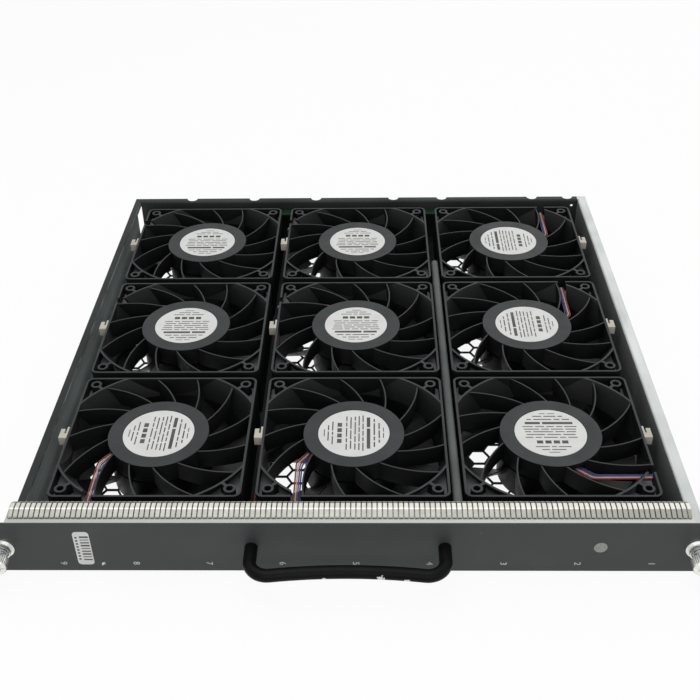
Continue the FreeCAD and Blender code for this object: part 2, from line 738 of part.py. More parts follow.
def along_y(x, y, z):
    return Placement(Vector(x, y, z), Rotation(Vector(1, 0, 0), -90))


handle_spots = [along_y(sign * size("handle_half"), panel_face, size("mid_z")) for sign in (-1, 1)]
group("handle_screws", copies(handle_screw(), handle_spots, "handle_screw"))


# Captive panel screws: sleeve in the panel, spring, screw with its knob, and a retaining ring
def turned(name, outline):
    body = new_body(name)
    body.Tip = feature(body, "Revolution", sketch(body, "XZ", rounded(outline)))
    return body


screw_out = 4.3
sleeve_front = -5.0
knob_back = sleeve_front - screw_out
knob_front = knob_back - 9
ring_gap = 0.1


def captive_sleeve():
    metal = size("metal")
    outline = [(2.7, -1), (4.8, -1), (4.8, sleeve_front), (5.6, sleeve_front), (5.6, -1.6), (7.1, -1.6), (7.1, 0),
               (4.2, 0), (4.2, metal + 0.8), (2.7, metal + 0.8)]
    return turned("sleeve_master", outline)


def captive_screw():
    back = size("metal") + 0.8
    shank = 2.6
    outline = [(0, knob_front), (3.6, knob_front), (3.6, knob_front + 1), (5.4, knob_front + 1),
               (6.2, knob_front + 1.8), (6.2, knob_back - 0.8), (5.4, knob_back), (shank, knob_back),
               (shank, back + ring_gap), (1.5, back + ring_gap), (1.5, back + ring_gap + 1),
               (shank, back + ring_gap + 1), (shank, back + 3), (2.1, back + 3), (2.1, back + 14.4),
               (1.5, back + 15), (0, back + 15)]
    body = turned("screw_master", outline)
    slot = sketch(body, "XY", block(-8, -0.6, 8, 0.6), "%g" % knob_front)
    body.Tip = feature(body, "Pocket", slot, "1.6", down=True)
    return body


def captive_ring():
    start = size("metal") + 0.8 + ring_gap
    return turned("ring_master", [(1.53, start), (4, start), (4, start + 0.94), (1.53, start + 0.94)])


# Coil of tilted half circles, each tangent to the next
def captive_spring():
    half_turns = 9
    wire = 0.35
    radius = 3.75
    low = knob_back + wire + 0.01
    rise = (-1 - wire - 0.01 - low) / half_turns
    reach = math.hypot(radius, rise / 2)
    edges = []
    for index in range(half_turns):
        side = 1 if index % 2 == 0 else -1
        begin = Vector(side * radius, 0, low + index * rise)
        crown = Vector(0, side * reach, low + (index + 0.5) * rise)
        end = Vector(-side * radius, 0, low + (index + 1) * rise)
        edges.append(Part.Arc(begin, crown, end).toShape())
    profile = Part.Wire(Part.Circle(Vector(radius, 0, low), Vector(0, 1, 0), wire).toShape())
    return Part.Wire(edges).makePipeShell([profile], True, True)


sleeve_links = []
sleeve = captive_sleeve()
screw = captive_screw()
keeper = captive_ring()
for side, sign in (("left", -1), ("right", 1)):
    place = along_y(sign * size("screw_x"), panel_face, size("mid_z"))
    sleeve_links += copies(sleeve, [place], side + "_sleeve")
    keep(copies(screw, [place], side + "_screw")[0], side + "_captive_screw")
    keep(copies(keeper, [place], side + "_ring")[0], side + "_retaining_ring")
    spring = shaped(side + "_screw_spring", captive_spring())
    spring.Placement = place
group("screw_sleeves", sleeve_links)


# Status lens in the panel
def status_lens():
    lens = size("lens_r")
    metal = size("metal")
    body = new_body("status_lens")
    outline = [Part.Arc(Vector(0, -1, 0), Vector(2.2, -0.78, 0), Vector(lens, -0.2, 0)),
               Part.LineSegment(Vector(lens, -0.2, 0), Vector(lens, metal, 0)),
               Part.LineSegment(Vector(lens, metal, 0), Vector(lens + 1.5, metal, 0)),
               Part.LineSegment(Vector(lens + 1.5, metal, 0), Vector(lens + 1.5, metal + 1.5, 0)),
               Part.LineSegment(Vector(lens + 1.5, metal + 1.5, 0), Vector(0, metal + 1.5, 0)),
               Part.LineSegment(Vector(0, metal + 1.5, 0), Vector(0, -1, 0))]
    body.Tip = feature(body, "Revolution", sketch(body, "XZ", outline))
    body.Placement = along_y(size("lens_x"), panel_face, size("mid_z"))
    return keep(body, "status_lens")


status_lens()


# Control board behind the fans, lying on its rear connector
board_low = 29.9


def rear_connector():
    body = new_body("rear_connector")
    left = grid_x - 25.8
    right = grid_x + 25.8
    flange = sketch(body, "XZ", block(left - 6.2, 5.9, right + 6.2, board_low, 1.5), "%g" % -rear_face)
    feature(body, "Pad", flange, "2")
    inner = sketch(body, "XZ", block(left, 9.1, right, board_low), "%g" % -rear_face)
    feature(body, "Pad", inner, "9.5")
    shell = sketch(body, "XZ", block(left, 9.1, right, 26.7, 1), "%g" % -rear_face)
    feature(body, "Pad", shell, "13.5", down=True)
    cells = []
    for column in range(10):
        for line in range(2):
            x = grid_x - 22.5 + column * 5
            cells += block(x - 1.5, 11.4 + line * 7.5, x + 1.5, 16.4 + line * 7.5)
    pockets = sketch(body, "XZ", cells, "%g" % -(rear_face + 13.5))
    body.Tip = feature(body, "Pocket", pockets, "10", down=True)
    return keep(body, "rear_connector")


def control_board():
    board = doc.addObject("Part::Box", "control_board")
    board.Length = 150
    board.Width = 9
    board.Height = 1.6
    board.Placement = Placement(Vector(grid_x - 75, rear_face - 9.6, board_low), Rotation())
    return keep(board, "control_board")


rear_connector()
control_board()

# Checks before anything is written
doc.recompute()
for item in doc.Objects:
    if "Invalid" in item.State or "Error" in item.State:
        raise RuntimeError("%s did not build: %s" % (item.Name, item.State))
shapes = {}
for item in sub_parts:
    shape = Part.getShape(item)
    if shape.isNull() or not shape.isValid():
        raise RuntimeError("%s has no valid shape" % item.Label)
    shapes[item.Label] = shape
for label, shape in shapes.items():
    shape.exportStep("parts/%s.step" % label)
    print("%s: %d solids, %.0f mm3" % (label, len(shape.Solids), shape.Volume))
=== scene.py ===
import math

import bmesh
import bpy
from mathutils import Matrix, Vector


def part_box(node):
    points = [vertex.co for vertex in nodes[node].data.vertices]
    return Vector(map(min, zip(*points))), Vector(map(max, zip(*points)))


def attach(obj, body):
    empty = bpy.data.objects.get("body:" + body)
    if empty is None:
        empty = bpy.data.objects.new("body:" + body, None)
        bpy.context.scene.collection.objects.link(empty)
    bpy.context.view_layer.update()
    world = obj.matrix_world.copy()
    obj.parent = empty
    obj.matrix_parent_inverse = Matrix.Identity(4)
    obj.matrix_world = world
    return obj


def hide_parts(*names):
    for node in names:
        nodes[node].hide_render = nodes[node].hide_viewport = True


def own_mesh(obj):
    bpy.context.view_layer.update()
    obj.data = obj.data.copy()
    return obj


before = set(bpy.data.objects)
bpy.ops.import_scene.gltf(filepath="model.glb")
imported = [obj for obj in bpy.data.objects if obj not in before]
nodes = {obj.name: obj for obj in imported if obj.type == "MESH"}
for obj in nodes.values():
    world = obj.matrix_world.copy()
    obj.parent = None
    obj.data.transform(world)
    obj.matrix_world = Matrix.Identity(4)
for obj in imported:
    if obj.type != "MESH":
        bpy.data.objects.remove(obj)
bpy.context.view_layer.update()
mm = 0.001
print("frame loaded with", len(nodes), "nodes")


# places that several pieces share, read from the frame
def corners(node):
    return [Vector(c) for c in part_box(node)]


panelFace = corners("front_panel")[0].y
sealTop = corners("finger_seal")[1].z
railTop = corners("left_rail")[1].z
handleLow, handleHigh = corners("pull_handle")
lensLow, lensHigh = corners("status_lens")
plugLow, plugHigh = corners("rear_connector")
panelMid = (lensLow.z + lensHigh.z) / 2
plugMid = (plugLow.x + plugHigh.x) / 2
fanCentres = []
for number in range(1, 10):
    low, high = corners("fan_%d_frame" % number)
    fanCentres.append(Vector(((low.x + high.x) / 2, (low.y + high.y) / 2, high.z)))


# small helpers for shader trees, with lengths in metres
def startMaterial(name, colour, roughness, metallic=0.0, specular=0.5):
    material = bpy.data.materials.new(name)
    material.use_nodes = True
    tree = material.node_tree
    shader = tree.nodes["Principled BSDF"]
    shader.inputs["Base Color"].default_value = (*colour, 1)
    shader.inputs["Roughness"].default_value = roughness
    shader.inputs["Metallic"].default_value = metallic
    shader.inputs["Specular IOR Level"].default_value = specular
    return material, tree, shader


def addNode(tree, kind, **settings):
    node = tree.nodes.new(kind)
    for name, value in settings.items():
        if name in node.inputs:
            node.inputs[name].default_value = value
        else:
            setattr(node, name, value)
    return node


def objectSpace(tree, scale=(1, 1, 1)):
    coords = addNode(tree, "ShaderNodeTexCoord")
    mapping = addNode(tree, "ShaderNodeMapping", Scale=scale)
    tree.links.new(coords.outputs["Object"], mapping.inputs["Vector"])
    return mapping.outputs["Vector"]


def axisOf(tree, axis):
    split = addNode(tree, "ShaderNodeSeparateXYZ")
    tree.links.new(objectSpace(tree), split.inputs["Vector"])
    return split.outputs[axis]


def noiseAt(tree, scale, detail=4.0, stretch=(1, 1, 1)):
    noise = addNode(tree, "ShaderNodeTexNoise", Scale=scale, Detail=detail)
    tree.links.new(objectSpace(tree, stretch), noise.inputs["Vector"])
    return noise.outputs["Fac"]


def rangeOf(tree, source, low, high, toLow=0.0, toHigh=1.0):
    remap = addNode(tree, "ShaderNodeMapRange")
    remap.inputs["From Min"].default_value = low
    remap.inputs["From Max"].default_value = high
    remap.inputs["To Min"].default_value = toLow
    remap.inputs["To Max"].default_value = toHigh
    tree.links.new(source, remap.inputs["Value"])
    return remap.outputs["Result"]


def mathOf(tree, operation, *values):
    node = addNode(tree, "ShaderNodeMath", operation=operation)
    for index, value in enumerate(values):
        if isinstance(value, (int, float)):
            node.inputs[index].default_value = value
        else:
            tree.links.new(value, node.inputs[index])
    return node.outputs["Value"]


def mixColour(tree, factor, first, second):
    mix = addNode(tree, "ShaderNodeMix", data_type="RGBA")
    tree.links.new(factor, mix.inputs["Factor"])
    for socket, value in (("A", first), ("B", second)):
        target = [i for i in mix.inputs if i.name == socket and i.type == "RGBA"][0]
        if isinstance(value, tuple):
            target.default_value = (*value, 1)
        else:
            tree.links.new(value, target)
    return [o for o in mix.outputs if o.type == "RGBA"][0]


def setColour(tree, shader, colour):
    tree.links.new(colour, shader.inputs["Base Color"])


roughRange = (0.3, 0.7)


def varyRough(tree, shader, scale, low, high):
    tree.links.new(rangeOf(tree, noiseAt(tree, scale), *roughRange, low, high), shader.inputs["Roughness"])


def addBump(tree, shader, height, strength, distance):
    bump = addNode(tree, "ShaderNodeBump", Strength=strength, Distance=distance)
    tree.links.new(height, bump.inputs["Height"])
    tree.links.new(bump.outputs["Normal"], shader.inputs["Normal"])


def facing(tree, axis, low=0.6, high=0.95):
    geometry = addNode(tree, "ShaderNodeNewGeometry")
    split = addNode(tree, "ShaderNodeSeparateXYZ")
    tree.links.new(geometry.outputs["Normal"], split.inputs["Vector"])
    return rangeOf(tree, split.outputs[axis], low, high)


# a ragged patch round a point: 1 inside, 0 outside
patchLook = {"lift": 0.62, "cut": (0.80, 0.84)}


def patchAt(tree, centre, reach, ragged):
    coords = addNode(tree, "ShaderNodeTexCoord")
    gap = addNode(tree, "ShaderNodeVectorMath", operation="DISTANCE")
    tree.links.new(coords.outputs["Object"], gap.inputs[0])
    gap.inputs[1].default_value = centre
    near = rangeOf(tree, gap.outputs["Value"], 0, reach, patchLook["lift"], 0.0)
    return rangeOf(tree, mathOf(tree, "ADD", near, ragged), *patchLook["cut"])


# moulded fan housings: near black, with painted top light in patches on what faces up, lighter still on the
# deep corner shelves
housingLook = {"deep": (0.0055, 0.0058, 0.006), "paintedTopLight": (0.039, 0.0425, 0.044),
               "patchyTopLight": (0.15, 0.157, 0.163), "shelfLightDepth": (5.0, 7.0), "topLightPatchScale": 60,
               "topLightPatchRange": (0.3, 0.7, 0.7, 1.0), "rough": (0.46, 0.6), "roughScale": 90,
               "grain": (2600, 2), "bump": (0.25, 0.00012), "gloss": 0.18}


def housingPlastic():
    look = housingLook
    low, high = look["rough"]
    material, tree, shader = startMaterial("housingPlastic", look["deep"], low, 0.0, look["gloss"])
    rimTop = fanCentres[0].z
    # painted top light: faces turned up get a lighter tone in noise patches, growing lighter with depth
    # towards the corner shelves
    lowEnd, deepEnd = [rimTop - depth * mm for depth in look["shelfLightDepth"]]
    paintedTopLight = mixColour(tree, rangeOf(tree, axisOf(tree, "Z"), lowEnd, deepEnd), look["paintedTopLight"], look["patchyTopLight"])
    patchy = rangeOf(tree, noiseAt(tree, look["topLightPatchScale"]), *look["topLightPatchRange"])
    patchyTopLight = mathOf(tree, "MULTIPLY", facing(tree, "Z"), patchy)
    setColour(tree, shader, mixColour(tree, patchyTopLight, look["deep"], paintedTopLight))
    varyRough(tree, shader, look["roughScale"], low, high)
    addBump(tree, shader, noiseAt(tree, *look["grain"]), *look["bump"])
    return material


# impellers: darker and smoother than the housings
impellerLook = {"deep": (0.0035, 0.0037, 0.0039), "haze": (0.008, 0.0083, 0.0086), "hazeScale": 45,
                "hazeRange": (0.42, 0.75, 0.0, 0.6), "rough": (0.36, 0.5), "roughScale": 120,
                "grain": (1800, 2), "bump": (0.15, 0.0001), "gloss": 0.2}


def impellerPlastic():
    look = impellerLook
    low, high = look["rough"]
    material, tree, shader = startMaterial("impellerPlastic", look["deep"], low, 0.0, look["gloss"])
    haze = rangeOf(tree, noiseAt(tree, look["hazeScale"]), *look["hazeRange"])
    setColour(tree, shader, mixColour(tree, haze, look["deep"], look["haze"]))
    varyRough(tree, shader, look["roughScale"], low, high)
    addBump(tree, shader, noiseAt(tree, *look["grain"]), *look["bump"])
    return material


# plated sheet: rolling lines along the tray, cloudy tarnish; flange, foot and outer face differ in tone, with
# painted light among them: the right rail's bright flange and the line along the left rail's bend are painted
# highlights, the right rail's inner wall is lifted as painted light, and the rear wall's inner face is
# painted shade
trayLook = {"dull": {"clean": (0.034, 0.039, 0.038), "dark": (0.022, 0.025, 0.0245), "metallic": 0.1},
            "shade": {"clean": (0.042, 0.045, 0.043), "dark": (0.03, 0.032, 0.03), "metallic": 0.1},
            "zinc": {"clean": (0.2, 0.228, 0.222), "dark": (0.155, 0.177, 0.172), "metallic": 0.0},
            "foot": {"clean": (0.49, 0.55, 0.54), "dark": (0.34, 0.385, 0.375), "metallic": 0.0},
            # painted light: lifted tone for the right rail's inner wall
            "litInnerWall": {"clean": (0.16, 0.175, 0.172), "dark": (0.115, 0.126, 0.123), "metallic": 0.0},
            "spine": {"clean": (0.112, 0.124, 0.121), "dark": (0.07, 0.077, 0.075), "metallic": 0.0},
            # painted highlight: the bright tone is the glare on the right rail's flange
            "bright": {"clean": (0.46, 0.48, 0.476), "dark": (0.35, 0.367, 0.363), "metallic": 1.0},
            "rough": (0.34, 0.5), "gloss": 0.08, "cloud": (26, 6), "cloudRange": (0.35, 0.7),
            "flangeDepth": 1.5, "flangeBlend": 0.2,
            "footDepth": (4.0, 13.0), "streak": (170, 4, (1, 0.03, 1)), "streakRange": (0.4, 0.65),
            "crease": 0.7, "creaseBand": (0.1, 0.35), "creaseNoise": (40, 4), "creaseRange": (0.4, 0.6),
            "creaseHighlight": (0.2, 0.22, 0.215),
            "lines": (900, 3, (1, 0.02, 1)), "bump": (0.18, 0.00006)}


def trayTone(tree, cloud, tone):
    return mixColour(tree, cloud, trayLook[tone]["clean"], trayLook[tone]["dark"])


def traySteel(name, wall, flange=None, outer=None, foot=None, crease=False):
    look = trayLook
    low, high = look["rough"]
    metallic = look[wall]["metallic"]
    material, tree, shader = startMaterial(name, look[wall]["clean"], low, metallic, look["gloss"])
    cloud = rangeOf(tree, noiseAt(tree, *look["cloud"]), *look["cloudRange"])
    colour = trayTone(tree, cloud, wall)
    if foot:
        start, end = [railTop - depth * mm for depth in look["footDepth"]]
        streak = rangeOf(tree, noiseAt(tree, *look["streak"]), *look["streakRange"])
        lower = rangeOf(tree, axisOf(tree, "Z"), start, end)
        colour = mixColour(tree, lower, colour, trayTone(tree, streak, foot))
    if outer:
        colour = mixColour(tree, facing(tree, outer), colour, trayTone(tree, cloud, "zinc"))
    # flange tone on the top band; on the right rail this is the bright painted highlight
    if flange:
        edge = railTop - look["flangeDepth"] * mm
        top = rangeOf(tree, axisOf(tree, "Z"), edge, edge + look["flangeBlend"] * mm)
        colour = mixColour(tree, top, colour, trayTone(tree, cloud, flange))
        metal = rangeOf(tree, top, 0, 1, metallic, look[flange]["metallic"])
        tree.links.new(metal, shader.inputs["Metallic"])
    # painted highlight: a broken light line along the left rail's bend
    if crease:
        line = edge + look["crease"] * mm
        inner, outside = [reach * mm for reach in look["creaseBand"]]
        away = mathOf(tree, "ABSOLUTE", mathOf(tree, "SUBTRACT", axisOf(tree, "Z"), line))
        broken = rangeOf(tree, noiseAt(tree, *look["creaseNoise"]), *look["creaseRange"])
        creaseHighlight = mathOf(tree, "MULTIPLY", rangeOf(tree, away, inner, outside, 1, 0), broken)
        colour = mixColour(tree, creaseHighlight, colour, look["creaseHighlight"])
    setColour(tree, shader, colour)
    lines = noiseAt(tree, *look["lines"])
    tree.links.new(rangeOf(tree, lines, *roughRange, low, high), shader.inputs["Roughness"])
    addBump(tree, shader, lines, *look["bump"])
    return material


# painted panel front with bare folded returns behind the face, and one white scuff
panelLook = {"paint": (0.036, 0.0405, 0.0405), "worn": (0.05, 0.0545, 0.0535), "bare": (0.42, 0.435, 0.41),
             "wornNoise": (30, 8), "wornRange": (0.5, 0.8, 0.0, 0.7), "paintDepth": 0.9, "blend": 0.05,
             "scuff": (0.7, 0.7, 0.68), "scuffAt": (-149.3, 7.2), "scuffReach": 2.6, "scuffNoise": (700, 3),
             "rough": 0.5, "bareRough": 0.36, "grain": (1500, 3), "bump": (0.22, 0.00012), "gloss": 0.35}


def panelPaint():
    look = panelLook
    material, tree, shader = startMaterial("panelPaint", look["paint"], look["rough"], 0.0, look["gloss"])
    behind = panelFace + look["paintDepth"] * mm
    blend = look["blend"] * mm
    bare = rangeOf(tree, axisOf(tree, "Y"), behind - blend, behind + blend)
    worn = rangeOf(tree, noiseAt(tree, *look["wornNoise"]), *look["wornRange"])
    paint = mixColour(tree, worn, look["paint"], look["worn"])
    spot = (look["scuffAt"][0] * mm, panelFace, look["scuffAt"][1] * mm)
    scuff = patchAt(tree, spot, look["scuffReach"] * mm, noiseAt(tree, *look["scuffNoise"]))
    paint = mixColour(tree, scuff, paint, look["scuff"])
    setColour(tree, shader, mixColour(tree, bare, paint, look["bare"]))
    tree.links.new(bare, shader.inputs["Metallic"])
    rough = rangeOf(tree, bare, 0, 1, look["rough"], look["bareRough"])
    tree.links.new(rough, shader.inputs["Roughness"])
    addBump(tree, shader, noiseAt(tree, *look["grain"]), *look["bump"])
    return material


# finger strip: plated metal with random tarnish, painted shade on the front slope below the crest and painted
# shade on the finger edges beside the slots
sealLook = {"bright": (0.64, 0.63, 0.575), "dull": (0.5, 0.49, 0.435), "slope": (0.27, 0.27, 0.24),
            "edge": (0.1, 0.098, 0.085), "crest": (0.35, 0.12), "fingerPitch": 3.15, "fingers": 128,
            "slot": 0.55, "slotShadeBand": (0.3, 0.46), "tarnishNoise": (70, 5), "tarnishRange": (0.4, 0.75),
            "metallic": 0.85, "rough": (0.32, 0.48), "roughScale": 200, "grain": (1200, 2),
            "bump": (0.1, 0.00005)}


def sealMetal():
    look = sealLook
    material, tree, shader = startMaterial("sealMetal", look["bright"], look["rough"][0], look["metallic"])
    tarnish = rangeOf(tree, noiseAt(tree, *look["tarnishNoise"]), *look["tarnishRange"])
    metal = mixColour(tree, tarnish, look["bright"], look["dull"])
    # painted shade: the front slope below the crest takes a darker tone
    slopeEnd, crestStart = [sealTop - drop * mm for drop in look["crest"]]
    metal = mixColour(tree, rangeOf(tree, axisOf(tree, "Z"), slopeEnd, crestStart), look["slope"], metal)
    # painted shade on each finger's edges, darkening towards the slots
    firstSlot = -look["fingerPitch"] * (look["fingers"] - 1) / 2 + look["slot"] / 2
    across = mathOf(tree, "SUBTRACT", axisOf(tree, "X"), firstSlot * mm)
    steps = mathOf(tree, "DIVIDE", across, look["fingerPitch"] * mm)
    offset = mathOf(tree, "ABSOLUTE", mathOf(tree, "SUBTRACT", mathOf(tree, "FRACT", steps), 0.5))
    setColour(tree, shader, mixColour(tree, rangeOf(tree, offset, *look["slotShadeBand"]), metal, look["edge"]))
    varyRough(tree, shader, look["roughScale"], *look["rough"])
    addBump(tree, shader, noiseAt(tree, *look["grain"]), *look["bump"])
    return material


# handle coating with the paint knocked off in three places: across, degrees below the front, size
handleLook = {"coat": (0.003, 0.003, 0.003), "sheen": (0.0055, 0.0055, 0.0055), "chip": (0.72, 0.72, 0.7),
              "chips": [(19.3, 14, 4.6), (34.8, 34, 4.2), (-13.6, 26, 1.9)], "bow": 3.0, "bowReach": 47.0,
              "rubNoise": (55, 5), "rubRange": (0.4, 0.75), "chipNoise": (520, 3), "rough": (0.32, 0.46),
              "roughScale": 150, "grain": (1400, 2), "bump": (0.12, 0.00008), "gloss": 0.07}


def handleBlack():
    look = handleLook
    material, tree, shader = startMaterial("handleBlack", look["coat"], look["rough"][0], 0.0, look["gloss"])
    rub = rangeOf(tree, noiseAt(tree, *look["rubNoise"]), *look["rubRange"])
    colour = mixColour(tree, rub, look["coat"], look["sheen"])
    ragged = noiseAt(tree, *look["chipNoise"])
    barRadius = (handleHigh.z - handleLow.z) / 2
    for x, drop, reach in look["chips"]:
        sway = look["bow"] * mm * (1 - (x / look["bowReach"]) ** 2)
        slope = math.radians(drop)
        front = handleLow.y + sway + barRadius * (1 - math.cos(slope))
        centre = (x * mm, front, panelMid - barRadius * math.sin(slope))
        colour = mixColour(tree, patchAt(tree, centre, reach * mm, ragged), colour, look["chip"])
    setColour(tree, shader, colour)
    varyRough(tree, shader, look["roughScale"], *look["rough"])
    addBump(tree, shader, noiseAt(tree, *look["grain"]), *look["bump"])
    return material


# plated and turned metals
metalLook = {"tarnishNoise": (160, 5), "tarnishRange": (0.4, 0.75), "roughScale": 420, "grain": (2400, 2),
             "bump": (0.08, 0.00004)}


def brightMetal(name, bright, dull, roughLow, roughHigh):
    look = metalLook
    material, tree, shader = startMaterial(name, bright, roughLow, 1.0)
    tarnish = rangeOf(tree, noiseAt(tree, *look["tarnishNoise"]), *look["tarnishRange"])
    setColour(tree, shader, mixColour(tree, tarnish, bright, dull))
    varyRough(tree, shader, look["roughScale"], roughLow, roughHigh)
    addBump(tree, shader, noiseAt(tree, *look["grain"]), *look["bump"])
    return material


# plastics, films, boards and wire sleeves
plasticLook = {"blotch": 110, "blotchDetail": 5, "blotchRange": (0.4, 0.75), "roughScale": 260, "grain": 1500,
               "grainDetail": 2, "bump": (0.12, 0.00006), "gloss": 0.35}


def plainPlastic(name, colour, shade, roughLow, roughHigh, grain=plasticLook["grain"],
                 blotch=plasticLook["blotch"]):
    look = plasticLook
    material, tree, shader = startMaterial(name, colour, roughLow, 0.0, look["gloss"])
    patch = rangeOf(tree, noiseAt(tree, blotch, look["blotchDetail"]), *look["blotchRange"])
    setColour(tree, shader, mixColour(tree, patch, colour, shade))
    varyRough(tree, shader, look["roughScale"], roughLow, roughHigh)
    addBump(tree, shader, noiseAt(tree, grain, look["grainDetail"]), *look["bump"])
    return material


# every look of the part, and the look of each node
looks = {
    "housing": housingPlastic(),
    "impeller": impellerPlastic(),
    "floor": traySteel("floorSteel", "dull"),
    "stiffener": traySteel("stiffenerSteel", "spine"),
    "leftRail": traySteel("leftRailSteel", "zinc", flange="dull", foot="foot", crease=True),
    # right rail: inner wall lifted as painted light, flange bright as painted highlight, outer face zinc
    "rightRail": traySteel("rightRailSteel", "litInnerWall", flange="bright", outer="X"),
    "rearWall": traySteel("rearWallSteel", "shade", flange="dull", outer="Y"),
    "panel": panelPaint(),
    "seal": sealMetal(),
    "handle": handleBlack(),
    "nickel": brightMetal("nickelPlate", (0.84, 0.84, 0.82), (0.64, 0.64, 0.62), 0.24, 0.38),
    "zinc": brightMetal("zincPlate", (0.6, 0.61, 0.62), (0.42, 0.43, 0.44), 0.3, 0.44),
    "rivet": brightMetal("rivetMetal", (0.7, 0.71, 0.72), (0.5, 0.5, 0.5), 0.3, 0.42),
    "groundSteel": brightMetal("groundSteel", (0.66, 0.66, 0.65), (0.5, 0.5, 0.5), 0.16, 0.28),
    "iron": brightMetal("woundIron", (0.42, 0.23, 0.12), (0.25, 0.14, 0.08), 0.35, 0.5),
    "board": plainPlastic("boardGreen", (0.006, 0.028, 0.011), (0.004, 0.02, 0.008), 0.3, 0.42),
    "label": plainPlastic("labelFilm", (0.68, 0.68, 0.67), (0.62, 0.62, 0.61), 0.42, 0.55),
    "print": plainPlastic("labelPrint", (0.045, 0.045, 0.047), (0.1, 0.1, 0.1), 0.5, 0.6),
    "panelPrint": plainPlastic("panelPrint", (0.55, 0.56, 0.55), (0.42, 0.43, 0.42), 0.5, 0.6),
    "nylon": plainPlastic("nylonWhite", (0.5, 0.475, 0.41), (0.4, 0.375, 0.32), 0.34, 0.46),
    "red": plainPlastic("leadRed", (0.24, 0.04, 0.032), (0.16, 0.03, 0.025), 0.36, 0.5),
    "blue": plainPlastic("leadBlue", (0.022, 0.04, 0.15), (0.015, 0.028, 0.1), 0.36, 0.5),
    "white": plainPlastic("leadWhite", (0.46, 0.4, 0.36), (0.36, 0.3, 0.27), 0.36, 0.5),
    "violet": plainPlastic("leadViolet", (0.12, 0.045, 0.13), (0.08, 0.03, 0.09), 0.36, 0.5),
    "lens": plainPlastic("lensDiffuser", (0.3, 0.305, 0.29), (0.18, 0.185, 0.17), 0.3, 0.42, 900, 900),
    "shell": plainPlastic("connectorShell", (0.02, 0.02, 0.022), (0.032, 0.032, 0.034), 0.4, 0.55),
    "contact": brightMetal("contactGold", (0.78, 0.57, 0.24), (0.6, 0.42, 0.18), 0.2, 0.32),
}

nodeLooks = {
    "motor_stators": "iron", "drive_boards": "board", "shaft_bearings": "groundSteel", "hub_labels": "label",
    "fan_screws": "zinc", "leads_red": "red", "leads_blue": "blue", "leads_white": "white",
    "leads_violet": "violet", "lead_connectors": "nylon", "floor_rivets": "rivet", "tray_floor": "floor",
    "left_rail": "leftRail", "right_rail": "rightRail", "rear_wall": "rearWall",
    "centre_stiffener": "stiffener", "front_panel": "panel", "finger_seal": "seal", "pull_handle": "handle",
    "handle_screws": "zinc",
    "left_captive_screw": "nickel", "right_captive_screw": "nickel", "left_retaining_ring": "zinc",
    "right_retaining_ring": "zinc", "left_screw_spring": "zinc", "right_screw_spring": "zinc",
    "screw_sleeves": "nickel", "status_lens": "lens", "rear_connector": "shell", "control_board": "board",
}
for number in range(1, 10):
    nodeLooks["fan_%d_frame" % number] = "housing"
    nodeLooks["fan_%d_impeller" % number] = "impeller"
    nodeLooks["fan_%d_yoke" % number] = "groundSteel"
for name, look in nodeLooks.items():
    mesh = nodes[name].data
    mesh.materials.clear()
    mesh.materials.append(looks[look])
print("materials on", len(nodeLooks), "nodes")


# finishing a new piece
def finishPiece(name, bm, look, body):
    mesh = bpy.data.meshes.new(name)
    bmesh.ops.recalc_face_normals(bm, faces=bm.faces[:])
    bm.to_mesh(mesh)
    bm.free()
    mesh.materials.append(looks[look])
    piece = bpy.data.objects.new(name, mesh)
    bpy.context.scene.collection.objects.link(piece)
    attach(piece, body)
    return piece


def addBlock(bm, centre, dims):
    made = bmesh.ops.create_cube(bm, size=1.0)["verts"]
    bmesh.ops.scale(bm, vec=dims, verts=made)
    bmesh.ops.translate(bm, vec=centre, verts=made)
    return made


# plain slot numbers along the lower edge of the panel, lying on their side
numberRow = {"count": 9, "pitch": 44.6, "first": 183.0, "height": 7.6, "size": 5.6, "weight": 0.03,
             "lift": 0.03}


def panelNumbers():
    n = numberRow
    bm = bmesh.new()
    for index in range(n["count"]):
        curve = bpy.data.curves.new("slotNumber", "FONT")
        curve.body = str(index + 1)
        curve.size = n["size"] * mm
        curve.align_x = "CENTER"
        curve.align_y = "CENTER"
        curve.extrude = n["lift"] * mm
        curve.offset = n["weight"] * mm
        writer = bpy.data.objects.new("slotNumber", curve)
        bpy.context.scene.collection.objects.link(writer)
        bpy.context.view_layer.update()
        digit = writer.to_mesh()
        place = (Matrix.Translation(((n["first"] - index * n["pitch"]) * mm, panelFace, n["height"] * mm))
                 @ Matrix.Rotation(math.radians(90), 4, "X") @ Matrix.Rotation(math.radians(-90), 4, "Z"))
        digit.transform(place)
        bm.from_mesh(digit)
        writer.to_mesh_clear()
        bpy.data.objects.remove(writer)
        bpy.data.curves.remove(curve)
    return finishPiece("panelNumbers", bm, "panelPrint", "tray")


panelNumbers()

# sticker with plain bars and a column of blank marks
sticker = {"x": -159.6, "width": 9.9, "height": 27.8, "middle": 20.5, "thick": 0.12, "corner": 2.4,
           "cornerSteps": 5, "bars": 9, "barPitch": 2.4, "barThick": (1.3, 0.7, 1.0), "barX": 1.6,
           "barWidth": 5.4, "marks": 8, "markPitch": 2.6, "markX": -3.2, "markSize": (1.4, 1.3), "ink": 0.03}


